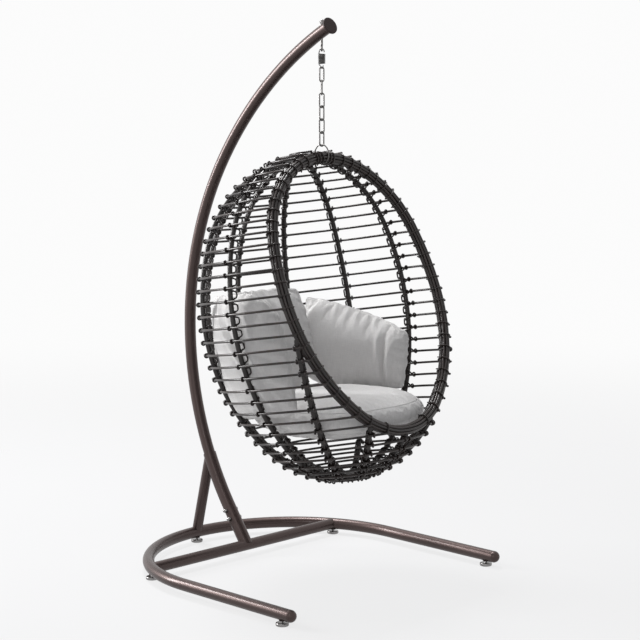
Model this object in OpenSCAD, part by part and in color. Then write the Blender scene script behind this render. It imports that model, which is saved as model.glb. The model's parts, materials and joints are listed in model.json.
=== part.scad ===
// Hanging egg chair: an open basket of canes on a spring and chain, under a bent tube stand.
// Origin: centre of the rear foot, on the floor. +Z is up and the chair faces -Y.

/* [Stand] */
// Outer diameter of the base rail
rail_d = 42; // [36:1:46]
// Wall of every tube
tube_wall = 2; // [1.5:0.5:3]
// Bend radius of the base rail at its centre line
rail_bend = 514; // [490:1:540]
// Straight length of each base leg, with its domed cap
leg_len = 541; // [480:1:600]
// Height of the rail's centre line above the floor
rail_z = 39; // [36:1:44]
// Distance of the cross bar in front of the rear foot
cross_back = 277; // [250:1:300]
// Outer diameter of the cross bar
cross_d = 40; // [36:1:42]
// Outer diameter of the rear strut
strut_d = 38; // [32:1:40]
// Outer diameter of the mast's foot socket
socket_d = 48; // [47:0.5:52]

/* [Mast] */
// Outer diameter of the mast
mast_d = 42; // [38:0.5:43]
// Backward lean of the mast's foot from upright
mast_lean = 35.6; // [34:0.1:37]
// Straight length at the mast's foot
mast_straight = 158; // [120:1:200]
// Radius of the mast's long lower bend
mast_bend_low = 1135; // [1100:1:1180]
// Turn of the mast's long lower bend
mast_turn_low = 69.8; // [66:0.1:72]
// Radius of the mast's upper bend
mast_bend_top = 1380; // [1300:5:1450]
// Turn of the mast's upper bend
mast_turn_top = 29.7; // [27:0.1:31]
// Diameter of the flat cap on the mast's tip
cap_d = 60; // [50:1:70]

/* [Feet] */
// Diameter of a foot's pad
foot_d = 44; // [30:1:50]
// Height of a foot's pad
foot_h = 11; // [8:1:13]
// Diameter of the threaded stem of a foot
stem_d = 8; // [6:1:10]
// Distance of a leg's foot from the tip of the leg
foot_back = 58; // [45:1:90]

/* [Suspension] */
// Distance of the chain in front of the rear foot
hang_front = 668; // [655:1:680]
// Wire diameter of the hanger eye
eye_wire = 7; // [6:0.5:8]
// Height of the hanger eye's centre above the floor
eye_z = 1856; // [1850:1:1862]
// Outer diameter of the spring's coils
spring_d = 26; // [22:1:30]
// Wire diameter of the spring
spring_wire = 3.6; // [3:0.1:4]
// Number of turns of the spring
spring_turns = 8; // [6:1:10]
// Wire diameter of a chain link
link_wire = 5; // [4:0.5:5.5]
// Outer width of a chain link
link_w = 22; // [21:1:26]
// Outer diameter of the hanging ring
ring_d = 71; // [70:1:76]
// Wire diameter of the hanging ring
ring_wire = 4.5; // [4:0.5:5]

/* [Basket] */
// Height of the basket from pole to pole, at the rungs' centre line
egg_h = 1150; // [1100:5:1200]
// Largest radius of the basket
egg_r = 455; // [440:1:470]
// Height of the widest level above the lower pole
egg_belly = 597; // [580:1:620]
// Radius of the basket's bottom
egg_foot_r = 370; // [350:5:390]
// Radius of the basket's crown
egg_top_r = 433; // [415:1:450]
// Backward lean of the basket as it hangs
egg_tilt = 9.5; // [8:0.1:11]
// Turn of the basket round its own axis as it hangs
egg_turn = 4; // [0:1:8]
// Diameter of a rib
rib_d = 16; // [12:1:18]
// Turn of the whole set of ribs from the front
rib_skew = -2; // [-3:0.5:3]
// Diameter of a rung
rung_d = 8; // [6:0.5:9]
// Distance from one rung to the next along a rib
rung_pitch = 44; // [40:1:50]

/* [Rim] */
// Height of the rim's oval in its own plane
rim_h = 982; // [970:1:990]
// Largest half width of the rim's oval
rim_r = 396; // [390:1:402]
// Height of the oval's widest level above its lowest point
rim_belly = 498; // [480:1:515]
// Radius of the oval's bottom
rim_foot_r = 312; // [300:1:325]
// Radius of the oval's top
rim_top_r = 383; // [370:1:395]
// Backward lean of the rim's plane from the basket's axis
rim_lean = 13.6; // [13:0.1:14.2]
// Height of the rim's lowest point above the lower pole
rim_z = 167; // [160:1:175]
// Distance of the rim's lowest point in front of the basket's axis
rim_front = 278; // [270:1:285]
// Diameter of the rim's bundle of canes
bundle_d = 38; // [37:0.5:41]

/* [Cushions] */
// Diameter of the round seat cushion
seat_d = 606; // [580:2:608]
// Thickness of the seat cushion at its middle
seat_t = 118; // [100:1:130]
// Height of the seat cushion's middle above the lower pole
seat_s = 242; // [240:1:246]
// Distance of the seat cushion's centre behind the basket's axis
seat_shift = 3; // [1:1:5]
// Forward tip of the seat cushion, which lies nearly level in the leaning basket
seat_tip = 8; // [6:0.5:9]
// Width of the left scatter cushion
pillow_w_left = 425; // [400:5:430]
// Width of the middle scatter cushion
pillow_w_back = 384; // [370:2:386]
// Width of the right scatter cushion
pillow_w_right = 378; // [360:2:380]
// Height of the left scatter cushion
pillow_h_left = 392; // [380:2:396]
// Height of the middle scatter cushion
pillow_h_back = 384; // [370:2:388]
// Height of the right scatter cushion, which has slumped towards the front
pillow_h_right = 330; // [320:2:334]
// Thickness of a scatter cushion at its middle
pillow_t = 120; // [90:5:120]

/* [Hidden] */
$fn = 96;
wire_fn = 24;
eps = 0.01;
RIB_COUNT = 12;
rib_names = [for (i = [0 : RIB_COUNT - 1]) str("rib_", i < 9 ? "0" : "", i + 1)];
link_count = 6;
foot_count = 5;

metal_brown = [0.33, 0.28, 0.27];
steel = [0.62, 0.62, 0.63];
dark_steel = [0.20, 0.19, 0.19];
cane_black = [0.14, 0.12, 0.11];
cloth = [0.74, 0.73, 0.72];

// ---------------------------------------------------------------- base
rail_r = rail_d / 2;
cross_y = -cross_back;
arc_y = -rail_bend;
dome_r = rail_r;
tube_leg = leg_len - dome_r;
cross_half = sqrt(pow(rail_bend, 2) - pow(cross_y - arc_y, 2));
leg_tip_y = arc_y - leg_len;
foot_y = leg_tip_y + foot_back;
foot_places = [[0, 0], [cross_half, cross_y], [-cross_half, cross_y],
               [rail_bend, foot_y], [-rail_bend, foot_y]];

// Points and headings along the mast, which lies in the plane x = 0
// A stretch is [length or angle, radius], and radius 0 is a straight one
mast_stretches = [[mast_straight, 0], [mast_turn_low, mast_bend_low],
                  [mast_turn_top, mast_bend_top]];
socket_len_turn = 11;
socket_stretches = [[mast_straight, 0], [socket_len_turn, mast_bend_low]];
mast_start = 60;
mast_tube_stretches = [[mast_straight - mast_start, 0], [mast_turn_low, mast_bend_low],
                       [mast_turn_top, mast_bend_top]];

// Height of the mast's centre line in its upper bend at distance y, seen in its own plane
low_end_head = mast_turn_low - mast_lean;
low_end_y = cross_y + mast_straight * sin(mast_lean)
    + mast_bend_low * (cos(low_end_head) - cos(mast_lean));
low_end_z = rail_z + mast_straight * cos(mast_lean)
    + mast_bend_low * (sin(mast_lean) + sin(low_end_head));
top_centre_y = low_end_y - mast_bend_top * cos(low_end_head);
top_centre_z = low_end_z - mast_bend_top * sin(low_end_head);
function mast_z_at(y) = top_centre_z + sqrt(pow(mast_bend_top, 2) - pow(y - top_centre_y, 2));

// Strut: from the back of the rail to the middle of the socket's bend
socket_head = socket_len_turn - mast_lean;
strut_top_y = cross_y + mast_straight * sin(mast_lean)
    + mast_bend_low * (cos(socket_head) - cos(mast_lean)) - 1;
strut_top_z = rail_z + mast_straight * cos(mast_lean)
    + mast_bend_low * (sin(mast_lean) + sin(socket_head)) - 12;
strut_lean = atan2(-strut_top_y, strut_top_z - rail_z);
strut_len = (strut_top_z - rail_z) / cos(strut_lean);

bolt_d = 8;
bolt_hole_d = 8.4;
bolt_places = [112, 146];
bolt_head_d = 15;
bolt_head_h = 5;
nut_d = 14;
nut_h = 7;

// ---------------------------------------------------------------- suspension
hang_y = -hang_front;
eye_r = 8;
hang_z = mast_z_at(hang_y);
upper_slope = asin((hang_y - top_centre_y) / mast_bend_top);
bolt_top = hang_z + mast_d / 2 / cos(upper_slope);
touch_gap = 0.6;
hook_r = 8;
top_hook_z = eye_z - eye_r + eye_wire / 2 + spring_wire / 2 + touch_gap;
hook_span = 67;
low_hook_z = top_hook_z - hook_span;
spring_r = (spring_d - spring_wire) / 2;
spring_pitch = 4.25;
coil_len = spring_turns * spring_pitch;
coil_low = (top_hook_z + low_hook_z - coil_len) / 2;
link_r = (link_w - link_wire) / 2;
link_len = 44;
link_crown = link_len - link_wire - touch_gap;
link_pitch = link_len;
link_straight = link_pitch + link_wire + touch_gap - 2 * link_r;
link_top_z = low_hook_z + spring_wire / 2 + link_wire / 2 + touch_gap;
link_faces = [80, 140, 20, 80, 20, 80];
ring_r = (ring_d - ring_wire) / 2;
ring_top_z = link_top_z - (link_count - 1) * link_pitch
    - (link_straight + 2 * link_r) + link_wire / 2 + ring_wire / 2 + touch_gap;

// ---------------------------------------------------------------- ovals
// An oval is [height, half width, belly height, bottom radius, top radius]. Its outline is a
// bottom arc, two side arcs that meet at the belly, and a top arc, all tangent to each other.
egg_oval = [egg_h, egg_r, egg_belly, egg_foot_r, egg_top_r];
rim_oval = [rim_h, rim_r, rim_belly, rim_foot_r, rim_top_r];
function side_radius(w, drop, r) = (w * w + pow(drop - r, 2) - r * r) / (2 * (w - r));
function low_side(o) = side_radius(o[1], o[2], o[3]);
function top_side(o) = side_radius(o[1], o[0] - o[2], o[4]);
function low_turn(o) = atan2(o[2] - o[3], low_side(o) - o[1]);
function top_turn(o) = atan2(o[0] - o[2] - o[4], top_side(o) - o[1]);
function arc_len(r, turn) = PI * r * turn / 180;
function arc_turn(r, len) = 180 * len / PI / r;

// Direction of the outward normal at a distance along the outline from the belly, up or down
function normal_up(o, len) =
    let (side = top_side(o), turn = top_turn(o), part = arc_len(side, turn))
    len < part ? arc_turn(side, len) : turn + arc_turn(o[4], len - part);
function normal_down(o, len) =
    let (side = low_side(o), turn = low_turn(o), part = arc_len(side, turn))
    len < part ? arc_turn(side, len) : turn + arc_turn(o[3], len - part);
function outline_normal(o, len) = len >= 0 ? normal_up(o, len) : -normal_down(o, -len);

// Point [distance from the axis, height] on the outline, moved inward by inset
function outline_at(o, normal, inset) =
    normal >= top_turn(o) ? [(o[4] - inset) * cos(normal), o[0] - o[4] + (o[4] - inset) * sin(normal)]
    : normal >= 0 ? [o[1] - top_side(o) + (top_side(o) - inset) * cos(normal),
                     o[2] + (top_side(o) - inset) * sin(normal)]
    : normal >= -low_turn(o) ? [o[1] - low_side(o) + (low_side(o) - inset) * cos(normal),
                                o[2] + (low_side(o) - inset) * sin(normal)]
    : [(o[3] - inset) * cos(normal), o[3] + (o[3] - inset) * sin(normal)];

// ---------------------------------------------------------------- basket
// The rim's top hangs in the ring, so the chain sets the basket's place
rim_top_front = rim_front - rim_h * sin(rim_lean);
rim_top_up = rim_z + rim_h * cos(rim_lean);
rim_top_y = -rim_top_front * cos(egg_turn) * cos(egg_tilt) + rim_top_up * sin(egg_tilt);
rim_top_z = rim_top_front * cos(egg_turn) * sin(egg_tilt) + rim_top_up * cos(egg_tilt);
rim_rest_z = ring_top_z - 2 * ring_r + ring_wire / 2 + touch_gap + bundle_d / 2;
egg_x = -rim_top_front * sin(egg_turn);
egg_y = hang_y - rim_top_y;
egg_z = rim_rest_z - rim_top_z;
rib_r = rib_d / 2;
rung_r = rung_d / 2;
seat_bite = 0.15;
rib_inset = rib_r + rung_r - seat_bite;
bundle_r = bundle_d / 2;
splice_t = 0.2;
splice_len = 7;
rim_inset = 25.6;
bind_r = 3.3;
halvings = 18;
hub_r = 44;
hub_t = 16;
hub_back = 50;
rung_shift = -18;
rung_first = -17;
rung_last = 17;
rib_step = 360 / RIB_COUNT;
rib_turns = [for (i = [0 : RIB_COUNT - 1])
    rib_skew + rib_step * (i <= RIB_COUNT / 2 ? i : i - RIB_COUNT)];

// Rim's distance in front of the axis at height s, and where a level meets the rim
function rim_f(s) = rim_front - (s - rim_z) * tan(rim_lean);
function rung_normal(j) = outline_normal(egg_oval, rung_shift + j * rung_pitch);
function meets_rim(p) = rim_f(p[1]) < p[0];
function rim_turn(p) = acos(rim_f(p[1]) / p[0]);

// Signed distance of the point (x, z) from an oval in its own plane
function oval_gap(o, x, z) =
    atan2(z - o[0] + o[4], x) > top_turn(o) ? norm([x, z - o[0] + o[4]]) - o[4]
    : z > o[2] ? norm([x - o[1] + top_side(o), z - o[2]]) - top_side(o)
    : atan2(z - o[3], x) < -low_turn(o) ? norm([x, z - o[3]]) - o[3]
    : norm([x - o[1] + low_side(o), z - o[2]]) - low_side(o);

// The ribs meet at the top behind the pole, so a rib's plane leans from the upright axis and
// its oval is a little smaller, to follow the same rungs
rib_less = [1.93, 0.886, 0, 0.228, 1.39];
function rib_lean(turn) = asin(hub_back * sin(turn) / (egg_h - rib_inset));
function rib_oval(turn) = egg_oval - rib_less * pow(sin(turn), 2);

// Place [x, y, z] of a rib's centre line, in the basket, where its outline has this normal
function rib_place(turn, normal) =
    let (p = outline_at(rib_oval(turn), normal, rib_inset), side = p[1] * sin(rib_lean(turn)))
    [p[0] * sin(turn) + side * cos(turn), side * sin(turn) - p[0] * cos(turn),
     p[1] * cos(rib_lean(turn))];

// Distance of a place in the basket from the rim's centre line
function rim_distance(q) =
    let (back = rim_front + q[1], up = q[2] - rim_z,
         off = back * cos(rim_lean) - up * sin(rim_lean),
         along = back * sin(rim_lean) + up * cos(rim_lean))
    norm([oval_gap(rim_oval, abs(q[0]), along), off]);

// Normal at which a rib at this turn reaches the rim's bundle, found by halving
function rib_end(turn, low, high, steps) =
    let (mid = (low + high) / 2)
    steps == 0 ? mid
    : rim_distance(rib_place(turn, mid)) < rib_reach ? rib_end(turn, low, mid, steps - 1)
    : rib_end(turn, mid, high, steps - 1);
rib_reach = bundle_r - 1;
rim_side_turn = 75;

// Normal at which a rib at this turn crosses the rim's plane
function rib_cross(turn, low, high, steps) =
    let (mid = (low + high) / 2, q = rib_place(turn, mid))
    steps == 0 ? mid
    : -q[1] > rim_f(q[2]) ? rib_cross(turn, low, mid, steps - 1)
    : rib_cross(turn, mid, high, steps - 1);
hub_normal_low = -acos(hub_r / egg_foot_r);
crown_r = egg_top_r - rib_inset;
hub_lean = asin(hub_back / crown_r);

// Rim outline at height t in its plane: the normal there
function rim_normal(t) =
    let (o = rim_oval, up = t - o[2],
         top_join = o[2] + top_side(o) * sin(top_turn(o)),
         low_join = o[2] - low_side(o) * sin(low_turn(o)))
    t > top_join ? asin(min(1, (t - o[0] + o[4]) / o[4]))
    : t > o[2] ? asin(up / top_side(o))
    : t > low_join ? asin(up / low_side(o))
    : asin(max(-1, (t - o[3]) / o[3]));

// ---------------------------------------------------------------- helpers
function dir(a) = [cos(a), sin(a)];

// A half turn is drawn from the end of the last stretch, heading +Z and bending towards -Y
module ring_profile(r, hole) {
    difference() {
        circle(r = r, $fn = 64);
        if (hole > 0)
            circle(r = hole, $fn = 64);
    }
}

module bend_up(bend, turn, r, hole) {
    translate([0, -bend, 0]) rotate([90, 0, 90]) rotate_extrude(angle = turn, $fn = 192)
        translate([bend, 0]) ring_profile(r, hole);
}

module tube_run(stretches, r, hole, i = 0) {
    if (i < len(stretches)) {
        size = stretches[i][0];
        bend = stretches[i][1];
        if (bend == 0) {
            linear_extrude(size) ring_profile(r, hole);
            translate([0, 0, size]) tube_run(stretches, r, hole, i + 1);
        } else {
            bend_up(bend, size, r, hole);
            translate([0, -bend * (1 - cos(size)), bend * sin(size)]) rotate([size, 0, 0])
                tube_run(stretches, r, hole, i + 1);
        }
    }
}

module at_mast_foot() {
    translate([0, cross_y, rail_z]) rotate([-mast_lean, 0, 0]) children();
}

module at_mast_tip() {
    tip_head = mast_turn_low + mast_turn_top - mast_lean;
    tip_y = top_centre_y + mast_bend_top * cos(tip_head);
    tip_z = top_centre_z + mast_bend_top * sin(tip_head);
    translate([0, tip_y, tip_z]) rotate([tip_head, 0, 0]) children();
}

module in_basket() {
    translate([egg_x, egg_y, egg_z]) rotate([-egg_tilt, 0, 0]) rotate([0, 0, egg_turn])
        children();
}

// The rim's plane, with x across and z up along it
module in_rim_plane() {
    translate([0, -rim_front, rim_z]) rotate([-rim_lean, 0, 0]) children();
}

// One arc of a wire or bundle about the y axis, standing in the plane y = 0
module upright_arc(centre_x, centre_z, r, from_turn, turn) {
    translate([centre_x, 0, centre_z]) rotate([90, 0, 0]) rotate([0, 0, from_turn])
        rotate_extrude(angle = turn, $fn = 160) translate([r, 0]) children();
}

module torus(r, wire) {
    rotate_extrude($fn = 48) translate([r, 0]) circle(r = wire, $fn = wire_fn);
}

// Closed tube through points: rings of six sides, square to the path
function unit(v) = v / norm(v);
function path_dir(p, i) = unit(p[min(i + 1, len(p) - 1)] - p[max(i - 1, 0)]);
function carry(side, d) = unit(side - (side * d) * d);
function path_sides(p, i, last) =
    i == len(p) ? []
    : let (s = carry(last, path_dir(p, i))) concat([s], path_sides(p, i + 1, s));
module wire_tube(p, r, sides) {
    across = path_sides(p, 0, [1, 0.2, 0.1]);
    rings = [for (i = [0 : len(p) - 1]) for (k = [0 : sides - 1])
        let (d = path_dir(p, i), u = across[i], v = cross(d, u), a = 360 * k / sides)
        p[i] + r * (cos(a) * u + sin(a) * v)];
    walls = [for (i = [0 : len(p) - 2]) for (k = [0 : sides - 1])
        let (a = i * sides + k, b = i * sides + (k + 1) % sides)
        each [[a, a + sides, b], [b, a + sides, b + sides]]];
    last = (len(p) - 1) * sides;
    ends = [for (k = [1 : sides - 2]) each [[0, k, k + 1], [last, last + k + 1, last + k]]];
    polyhedron(rings, concat(walls, ends), convexity = 8);
}

// ---------------------------------------------------------------- stand parts
module rail_solid(r, hole) {
    translate([0, arc_y, rail_z]) rotate_extrude(angle = 180, $fn = 192)
        translate([rail_bend, 0]) ring_profile(r, hole);
    for (side = [-1, 1])
        translate([side * rail_bend, arc_y, rail_z]) rotate([90, 0, 0])
            linear_extrude(tube_leg) ring_profile(r, hole);
}

insert_r = 9;
insert_h = 16;
module base_rail() {
    color(metal_brown) difference() {
        rail_solid(rail_r, rail_r - tube_wall);
        for (p = foot_places)
            translate([p[0], p[1], 0]) cylinder(r = insert_r, h = rail_z);
    }
}

module leg_cap(side) {
    plug_r = rail_r - tube_wall - 0.1;
    color(metal_brown) translate([side * rail_bend, arc_y - tube_leg, rail_z]) rotate([90, 0, 0]) {
        rotate_extrude() intersection() {
            circle(r = dome_r);
            square(dome_r);
        }
        translate([0, 0, -14]) cylinder(r = plug_r, h = 14 + eps);
    }
}

module cross_bar() {
    color(metal_brown) difference() {
        translate([-cross_half, cross_y, rail_z]) rotate([0, 90, 0])
            linear_extrude(2 * cross_half) ring_profile(cross_d / 2, cross_d / 2 - tube_wall);
        rail_solid(rail_r, 0);
        for (p = foot_places)
            translate([p[0], p[1], 0]) cylinder(r = insert_r + 0.2, h = rail_z);
    }
}

module mast_bolt_holes() {
    for (p = bolt_places)
        at_mast_foot() translate([0, 0, p]) rotate([0, 90, 0])
            cylinder(d = bolt_hole_d, h = 2 * socket_d, center = true);
}

socket_bore = mast_d / 2 + 0.1;
module mast_socket() {
    color(metal_brown) difference() {
        at_mast_foot() tube_run(socket_stretches, socket_d / 2, socket_bore);
        translate([-cross_half, cross_y, rail_z]) rotate([0, 90, 0])
            cylinder(d = cross_d, h = 2 * cross_half);
        mast_bolt_holes();
    }
}

module rear_strut() {
    color(metal_brown) difference() {
        translate([0, 0, rail_z]) rotate([strut_lean, 0, 0])
            linear_extrude(strut_len) ring_profile(strut_d / 2, strut_d / 2 - tube_wall);
        rail_solid(rail_r, 0);
        at_mast_foot() tube_run(mast_stretches, socket_d / 2, 0);
    }
}

// Inner sleeve over the place where two stretches of the mast meet
module ferrule() {
    outer = mast_d / 2 - tube_wall + 0.6;
    difference() {
        cylinder(r = outer, h = 12, center = true);
        cylinder(r = outer - 2.4, h = 13, center = true);
    }
}

module mast() {
    color(metal_brown) difference() {
        at_mast_foot() {
            translate([0, 0, mast_start])
                tube_run(mast_tube_stretches, mast_d / 2, mast_d / 2 - tube_wall);
            translate([0, 0, mast_straight]) {
                ferrule();
                translate([0, -mast_bend_low * (1 - cos(mast_turn_low)),
                           mast_bend_low * sin(mast_turn_low)])
                    rotate([mast_turn_low, 0, 0]) ferrule();
            }
        }
        mast_bolt_holes();
        translate([0, hang_y, hang_z - mast_d]) cylinder(d = bolt_hole_d, h = 2 * mast_d);
    }
}

module mast_cap() {
    cap_t = 8;
    edge = 2.5;
    plug_r = mast_d / 2 - tube_wall - 0.2;
    color(dark_steel) at_mast_tip() {
        rotate_extrude() union() {
            square([cap_d / 2 - edge, cap_t]);
            translate([0, edge]) square([cap_d / 2, cap_t - 2 * edge]);
            translate([cap_d / 2 - edge, edge]) circle(r = edge, $fn = wire_fn);
            translate([cap_d / 2 - edge, cap_t - edge]) circle(r = edge, $fn = wire_fn);
        }
        translate([0, 0, -12]) cylinder(r = plug_r, h = 12 + eps);
    }
}

// Domed nut: a hexagon under a half ball
module dome_nut(across, height) {
    cylinder(d = across / cos(30), h = height, $fn = 6);
    translate([0, 0, height]) intersection() {
        sphere(d = across - 1, $fn = 32);
        cylinder(d = across, h = across);
    }
}

module socket_bolts() {
    half = socket_d / 2;
    color(steel) for (p = bolt_places)
        at_mast_foot() translate([0, 0, p]) rotate([0, 90, 0]) {
            translate([0, 0, -half - nut_h]) cylinder(d = bolt_d, h = 2 * half + nut_h + eps);
            translate([0, 0, half]) cylinder(d = bolt_head_d, h = bolt_head_h);
        }
}

module socket_nuts() {
    color(steel) for (p = bolt_places)
        at_mast_foot() translate([0, 0, p]) rotate([0, -90, 0])
            translate([0, 0, socket_d / 2]) difference() {
                dome_nut(nut_d, nut_h);
                cylinder(d = bolt_d, h = nut_h);
            }
}

module hanger_bolt() {
    color(dark_steel) translate([0, hang_y, 0]) {
        translate([0, 0, eye_z + eye_r]) cylinder(d = bolt_d, h = bolt_top + 8 - eye_z - eye_r);
        translate([0, 0, eye_z]) rotate([0, 0, 45]) rotate([90, 0, 0]) torus(eye_r, eye_wire / 2);
    }
}

module hanger_nut() {
    washer_t = 2;
    drop = 7;
    nut_clear = 0.3;
    color(steel) translate([0, hang_y, bolt_top + eps]) {
        difference() {
            union() {
                translate([0, 0, 3]) cylinder(d = 18, h = washer_t);
                translate([0, 0, 3 + washer_t]) dome_nut(nut_d, nut_h);
                translate([0, 0, -drop]) cylinder(d = 15, h = drop + 3 + eps);
            }
            translate([0, 0, -drop - 1]) cylinder(d = bolt_d, h = drop + 9 + eps);
            translate([0, -hang_y, -bolt_top]) at_mast_foot()
                tube_run(mast_stretches, mast_d / 2 + nut_clear, 0);
        }
    }
}

module foot_inserts() {
    color(dark_steel) for (p = foot_places)
        translate([p[0], p[1], rail_z - rail_r]) difference() {
            union() {
                cylinder(r = insert_r, h = insert_h);
                translate([0, 0, -1.2]) cylinder(r = insert_r + 2, h = 1.2);
            }
            translate([0, 0, -2]) cylinder(d = stem_d + 0.1, h = insert_h + 3);
        }
}

module foot_stem(i) {
    p = foot_places[i];
    color(steel) translate([p[0], p[1], foot_h - 5])
        cylinder(d = stem_d, h = rail_z - rail_r + insert_h - foot_h + 8);
}

module foot_pad(i) {
    p = foot_places[i];
    round_r = 3;
    color(dark_steel) translate([p[0], p[1], 0]) difference() {
        rotate_extrude() union() {
            square([foot_d / 2 - round_r, foot_h]);
            translate([0, round_r]) square([foot_d / 2, foot_h - 2 * round_r]);
            translate([foot_d / 2 - round_r, round_r]) circle(r = round_r, $fn = wire_fn);
            translate([foot_d / 2 - round_r, foot_h - round_r]) circle(r = round_r, $fn = wire_fn);
        }
        translate([0, 0, foot_h - 5]) cylinder(d = stem_d, h = 6);
    }
}

// ---------------------------------------------------------------- suspension parts
// Spring: closed turns between two open hooks, drawn as one path from the top hook's tip
top_face = 135;
low_face = 80;
hook_steps = 7;
coil_twist = 360 * spring_turns + low_face - top_face;
coil_steps = ceil(coil_twist / 45);
function hook_point(a, z, sign, face) =
    [hook_r * cos(a) * cos(face), hook_r * cos(a) * sin(face), z + sign * hook_r * sin(a)];
function swing_in(t) = t * t * (3 - 2 * t);
function coil_point(t) =
    let (a = top_face - 45 + (coil_twist + 90) * t)
    [spring_r * cos(a), spring_r * sin(a), coil_low + coil_len * (1 - t)];
function neck_point(t, sign, z_coil, z_hook, a_coil) =
    let (r = spring_r + (hook_r - spring_r) * swing_in(t),
         a = a_coil - sign * 50 * pow(1 - t, 2))
    [r * cos(a), r * sin(a), z_coil + (z_hook - z_coil) * t];
top_neck = top_hook_z - hook_r;
low_neck = low_hook_z + hook_r;
spring_path = concat(
    [hook_point(180, top_neck - spring_wire, 1, top_face)],
    [for (i = [0 : hook_steps]) hook_point(180 - 180 * i / hook_steps, top_neck, 1, top_face)],
    [for (t = [0.66, 0.33]) neck_point(t, 1, coil_low + coil_len + 1, top_neck, top_face)],
    [for (i = [0 : coil_steps + 2]) coil_point(i / (coil_steps + 2))],
    [for (t = [0.33, 0.66]) neck_point(t, -1, coil_low - 1, low_neck, low_face)],
    [for (i = [0 : hook_steps]) hook_point(180 * i / hook_steps, low_neck, -1, low_face)],
    [hook_point(180, low_neck + spring_wire, -1, low_face)]);

// Least distance between stretches of the spring that are not neighbours
gap_skip = 6;
spring_gaps = [for (i = [0 : len(spring_path) - 1 - gap_skip])
    for (k = [i + gap_skip : len(spring_path) - 1]) norm(spring_path[i] - spring_path[k])];

module spring() {
    color(steel) translate([0, hang_y, 0]) wire_tube(spring_path, spring_wire / 2, 6);
}

// Chain link: two half rings and two straights, in the plane y = 0, hanging from the origin
module link_solid() {
    for (side = [-1, 1])
        translate([side * link_r, 0, -link_r - link_straight])
            cylinder(d = link_wire, h = link_straight, $fn = wire_fn);
    translate([0, 0, -link_r]) rotate([90, 0, 0]) rotate_extrude(angle = 180, $fn = 48)
        translate([link_r, 0]) circle(d = link_wire, $fn = wire_fn);
    translate([0, 0, -link_r - link_straight]) rotate([90, 0, 0]) rotate([0, 0, 180])
        rotate_extrude(angle = 180, $fn = 48) translate([link_r, 0])
            circle(d = link_wire, $fn = wire_fn);
}

module chain_link(i) {
    color(steel) translate([0, hang_y, link_top_z - i * link_pitch])
        rotate([0, 0, link_faces[i] + 90]) link_solid();
}

module hang_ring() {
    color(steel) translate([0, hang_y, ring_top_z - ring_r]) rotate([0, 90, 0])
        torus(ring_r, ring_wire / 2);
}

// ---------------------------------------------------------------- basket parts
// Short band over the place where two arcs of an outline meet
module splice(o, normal, inset, r) {
    p = outline_at(o, normal, inset);
    translate([p[0], 0, p[1]]) rotate([0, -normal, 0])
        cylinder(r = r + splice_t, h = splice_len, center = true);
}

// The whole oval in the plane y = 0: bottom arc, side arcs and top arc
module oval_bundle(o, r) {
    low = low_turn(o);
    top = top_turn(o);
    upright_arc(0, o[3], o[3], 180 + low, 180 - 2 * low) circle(r = r);
    upright_arc(0, o[0] - o[4], o[4], top, 180 - 2 * top) circle(r = r);
    for (side = [0, 1]) mirror([side, 0, 0]) {
        upright_arc(o[1] - low_side(o), o[2], low_side(o), -low, low) circle(r = r);
        upright_arc(o[1] - top_side(o), o[2], top_side(o), 0, top) circle(r = r);
        for (n = [-low, 0, top])
            splice(o, n, 0, r);
    }
}

module rim() {
    color(cane_black) in_basket() in_rim_plane() oval_bundle(rim_oval, bundle_r);
}

// A turn of cane round the rim at the end of rung j
module binding(j) {
    p = outline_at(egg_oval, rung_normal(j), rim_inset);
    t = (p[1] - rim_z) / cos(rim_lean);
    a = rim_normal(t);
    q = outline_at(rim_oval, a, 0);
    for (side = [0, 1]) mirror([side, 0, 0])
        in_rim_plane() translate([q[0], 0, q[1]]) rotate([0, -a, 0])
            torus(bundle_r + bind_r + 0.02, bind_r);
}

module rim_bindings() {
    color(cane_black) in_basket()
        for (j = [rung_first : rung_last])
            if (meets_rim(outline_at(egg_oval, rung_normal(j), rim_inset)))
                binding(j);
}

// A rung is a hoop, or an arc round the back that starts and ends on the rim
module rung(j) {
    n = rung_normal(j);
    p = outline_at(egg_oval, n, 0);
    q = outline_at(egg_oval, n, rim_inset);
    open = meets_rim(q) ? rim_turn(q) : 0;
    translate([0, 0, p[1]]) rotate([0, 0, open - 90])
        rotate_extrude(angle = 360 - 2 * open, $fn = 120)
            translate([p[0], 0]) circle(r = rung_r, $fn = wire_fn);
}

module rungs(first, last) {
    color(cane_black) in_basket()
        for (j = [first : last])
            rung(j);
}

// A rib follows the basket's outline inside the rungs, from hub to hub or up to the rim
module rib_arc(centre_x, centre_z, r, from_turn, to_turn) {
    if (to_turn > from_turn)
        upright_arc(centre_x, centre_z, r, from_turn, to_turn - from_turn)
            circle(r = rib_r, $fn = 32);
}

module rib(i) {
    turn = rib_turns[i];
    o = rib_oval(turn);
    at_front = abs(turn) < rim_side_turn;
    cross = rib_cross(turn, hub_normal_low, 20, halvings);
    hub_end = acos((hub_r - hub_back * cos(turn)) / (o[4] - rib_inset)) + 1;
    end = at_front ? rib_end(turn, cross - 8, cross, halvings) : hub_end;
    low = low_turn(o);
    top = top_turn(o);
    color(cane_black) in_basket() difference() {
        rotate([0, 0, turn - 90]) rotate([-rib_lean(turn), 0, 0]) {
            rib_arc(0, o[3], o[3] - rib_inset, hub_normal_low - 1, min(end, -low));
            rib_arc(o[1] - low_side(o), o[2], low_side(o) - rib_inset, -low, min(end, 0));
            rib_arc(o[1] - top_side(o), o[2], top_side(o) - rib_inset, 0, min(end, top));
            rib_arc(0, o[0] - o[4], o[4] - rib_inset, top, end);
            for (n = [-low, 0, top])
                if (end > n)
                    splice(o, n, rib_inset, rib_r);
        }
        at_bottom_hub() hub_solid(2 * hub_t);
        if (!at_front)
            at_top_hub() hub_solid(2 * hub_t);
    }
}

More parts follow.
